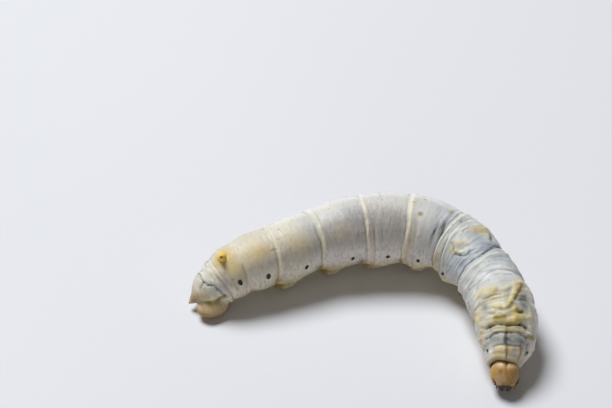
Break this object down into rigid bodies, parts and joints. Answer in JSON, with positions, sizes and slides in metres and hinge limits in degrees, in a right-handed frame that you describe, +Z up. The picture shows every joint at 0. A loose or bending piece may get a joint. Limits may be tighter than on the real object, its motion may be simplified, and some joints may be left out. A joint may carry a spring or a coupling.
{
  "type": "silkworm",
  "caption": "Fully grown silkworm larva at life size, hooked to its right and resting on its short legs, as a still display model.",
  "frame": {"origin": "centre of the floor area that the larva covers, on the floor", "axes": "+Z up; the tail lies toward -X, the bend of the body toward +Y, and the head, at +X, points toward -Y"},
  "size_m": [0.0531, 0.0356, 0.0125],
  "materials": {
    "skin": "soft, dry, finely wrinkled skin, milky white with grey, blue and yellow tints",
    "proleg": "soft cream skin, yellow-brown at the sole",
    "leg": "thin amber shell, satin",
    "head_shell": "hard tan shell, satin gloss",
    "jaw": "hard near-black shell",
    "horn": "soft yellow horn with a brown tip",
    "spiracle": "black breathing-hole plate with a brown rim"
  },
  "bodies": {
    "root": {"head": "head_shell", "mandible_right": "jaw", "mandible_left": "jaw", "lower_lip": "head_shell", "antenna_right": "head_shell", "antenna_left": "head_shell", "thorax_1": "skin", "thorax_2": "skin", "thorax_3": "skin", "abdomen_1": "skin", "abdomen_2": "skin", "abdomen_3": "skin", "abdomen_4": "skin", "abdomen_5": "skin", "abdomen_6": "skin", "abdomen_7": "skin", "abdomen_8": "skin", "abdomen_9": "skin", "abdomen_10": "skin", "horn": "horn", "thoracic_leg_1_right": "leg", "thoracic_leg_1_left": "leg", "thoracic_leg_2_right": "leg", "thoracic_leg_2_left": "leg", "thoracic_leg_3_right": "leg", "thoracic_leg_3_left": "leg", "proleg_3_right": "proleg", "proleg_3_left": "proleg", "proleg_4_right": "proleg", "proleg_4_left": "proleg", "proleg_5_right": "proleg", "proleg_5_left": "proleg", "proleg_6_right": "proleg", "proleg_6_left": "proleg", "anal_proleg_right": "proleg", "anal_proleg_left": "proleg"}
  },
  "joints": []
}
